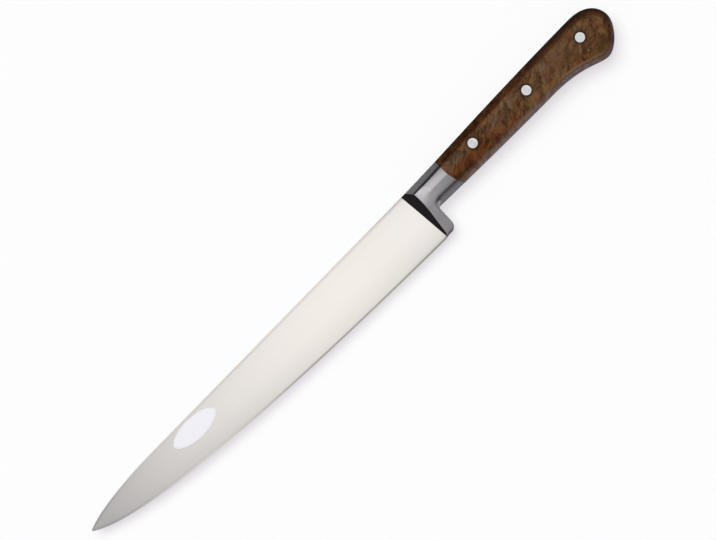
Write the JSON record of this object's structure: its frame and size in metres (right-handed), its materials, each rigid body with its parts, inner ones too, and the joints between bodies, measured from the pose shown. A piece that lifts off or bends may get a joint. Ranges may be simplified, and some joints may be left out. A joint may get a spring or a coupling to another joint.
{
  "type": "fillet knife",
  "caption": "Slender kitchen knife with a long tapering blade, forged bolster with a full heel, full tang and riveted wooden handle scales that hook down at the butt.",
  "frame": {"origin": "under the middle of the knife's box, on the surface that the right side of the handle rests on", "axes": "+X from the tip to the butt, +Y from the edge to the spine, +Z out of the blade's left side, upwards"},
  "size_m": [0.32, 0.029, 0.0145],
  "materials": {
    "blade_steel": "satin across the blade, polished on the bolster",
    "walnut": "oiled dark brown walnut burl",
    "rivet_metal": "ground flush, satin",
    "label_paper": "blank white sticker"
  },
  "bodies": {
    "root": {"blade_forging": "blade_steel", "left_scale": "walnut", "right_scale": "walnut", "front_rivet_post": "rivet_metal", "front_rivet_socket": "rivet_metal", "middle_rivet_post": "rivet_metal", "middle_rivet_socket": "rivet_metal", "rear_rivet_post": "rivet_metal", "rear_rivet_socket": "rivet_metal", "label_sticker": "label_paper"}
  },
  "joints": []
}
